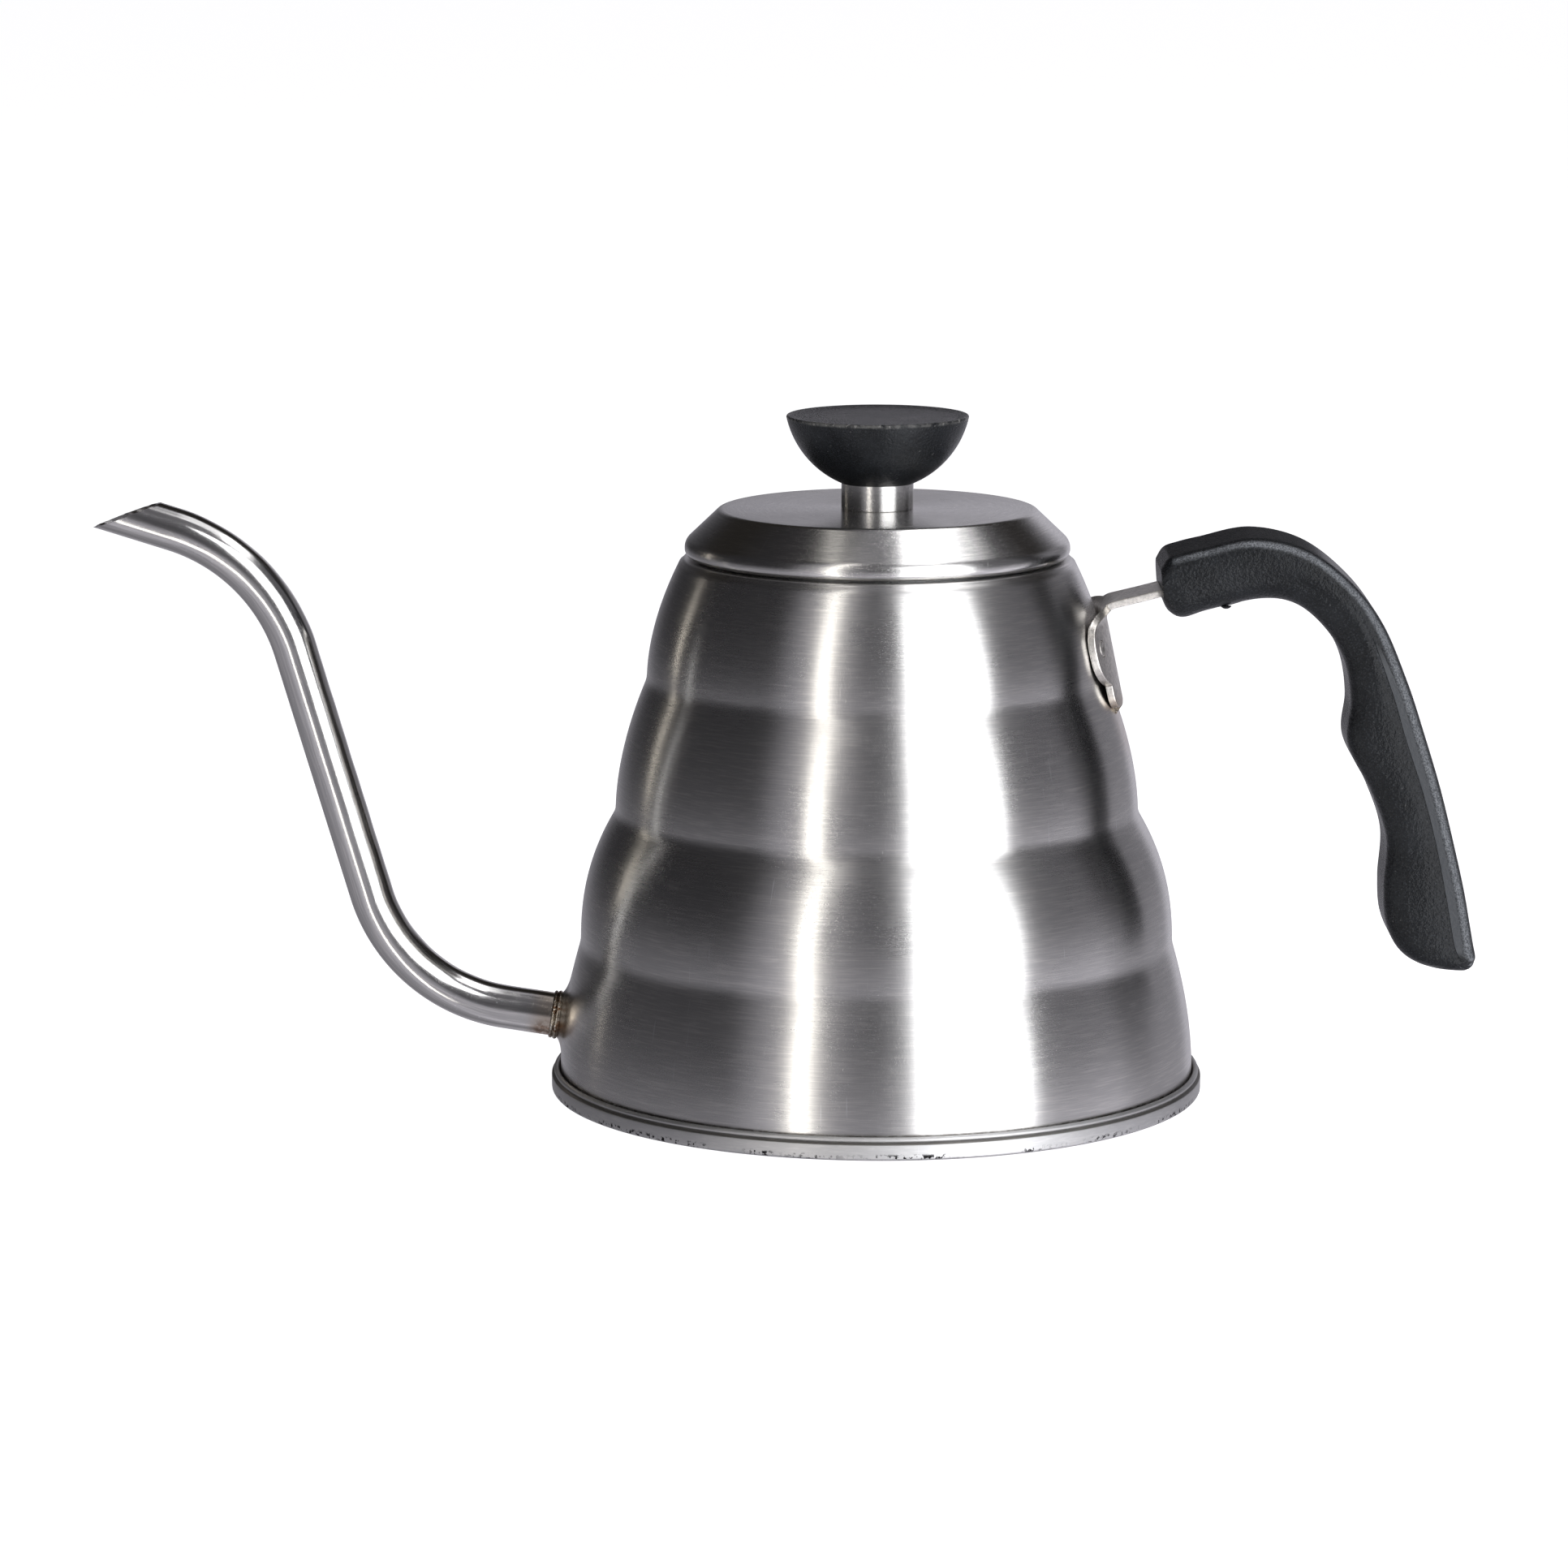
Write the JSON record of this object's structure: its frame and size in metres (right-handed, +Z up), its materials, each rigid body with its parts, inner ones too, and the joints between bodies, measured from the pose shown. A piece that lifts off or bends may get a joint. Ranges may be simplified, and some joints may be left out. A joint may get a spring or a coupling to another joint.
{
  "type": "gooseneck kettle",
  "caption": "Stovetop gooseneck kettle with a tiered steel vessel, thin curved pouring spout, black moulded grip and lift-off lid with a bowl-shaped knob.",
  "frame": {"origin": "centre of the base's underside, where the kettle stands", "axes": "+Z up, -X towards the spout, +X towards the grip, Y across the grip"},
  "size_m": [0.3032, 0.144, 0.1497],
  "materials": {
    "vessel_steel": "fine horizontal brushing, satin",
    "base_steel": "dull satin rim with small pits and heat marks at its lower edge",
    "spout_steel": "polished lengthwise",
    "bracket_steel": "tumbled, bright edges",
    "weld_metal": "heat-tinted bead",
    "lid_steel": "polished flat top, brushed bevel",
    "fastener_steel": "plain",
    "insert_brass": "turned",
    "grip_plastic": "fine spark-eroded texture",
    "knob_plastic": "fine spark-eroded texture, rubbed rim"
  },
  "bodies": {
    "kettle": {"body_shell": "vessel_steel", "base_pan": "base_steel", "spout_tube": "spout_steel", "spout_weld": "weld_metal", "handle_bracket": "bracket_steel", "bracket_plug_welds": "weld_metal", "tab_weld": "weld_metal", "grip": "grip_plastic", "grip_screw": "fastener_steel"},
    "lid": {"lid_cap": "lid_steel", "lid_skirt": "lid_steel", "knob_ferrule": "lid_steel", "lid_washer": "fastener_steel", "lid_screw": "fastener_steel"},
    "knob": {"knob": "knob_plastic", "knob_insert": "insert_brass"}
  },
  "joints": [
    {"name": "lid_lift", "type": "slide", "parent": "kettle", "child": "lid", "axis": [0, 0, 1], "range_m": [0, 0.11]},
    {"name": "knob_turn", "type": "hinge", "parent": "lid", "child": "knob", "pos_m": [0, 0, 0.14], "axis": [0, 0, 1], "continuous": true}
  ]
}
